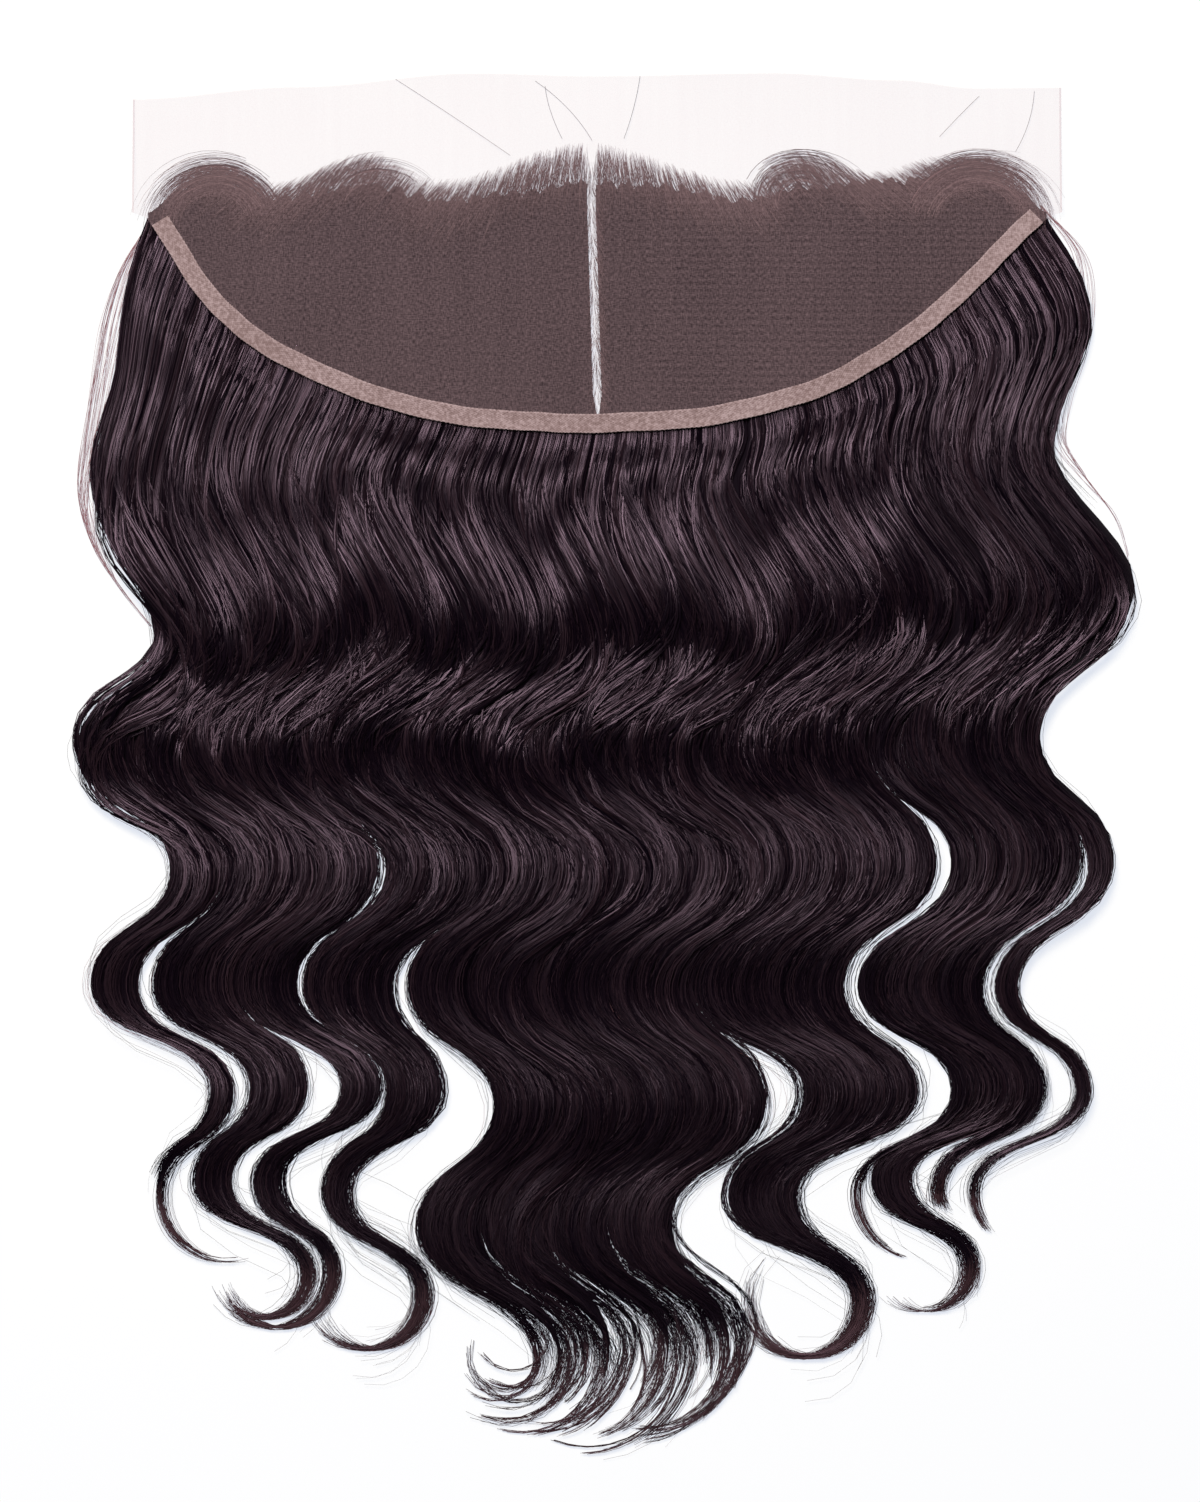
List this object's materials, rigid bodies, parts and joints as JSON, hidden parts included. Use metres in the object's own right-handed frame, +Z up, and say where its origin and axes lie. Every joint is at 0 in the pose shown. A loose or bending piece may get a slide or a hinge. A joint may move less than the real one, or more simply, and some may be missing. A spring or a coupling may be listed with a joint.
{
  "type": "lace frontal hairpiece",
  "caption": "Ear-to-ear lace frontal hairpiece lying face down: a sheer net with a sewn rear tape, and long hair in body waves that parts into hooked locks.",
  "frame": {"origin": "middle of the box of the whole piece in plan, at the height of the table", "axes": "+Y from the hair tips to the front edge of the lace, +X to the right in the picture, +Z up to the cap side of the lace"},
  "size_m": [0.388, 0.5024, 0.0125],
  "materials": {
    "lace_net": "fine sheer polyester net",
    "edge_tape": "woven tan tape",
    "hair": "soft brown-black hair with a satin sheen"
  },
  "bodies": {
    "root": {"lace_net": "lace_net", "edge_tape": "edge_tape", "hair_side_left": "hair", "hair_back_left": "hair", "hair_back_right": "hair", "hair_side_right": "hair"}
  },
  "joints": []
}
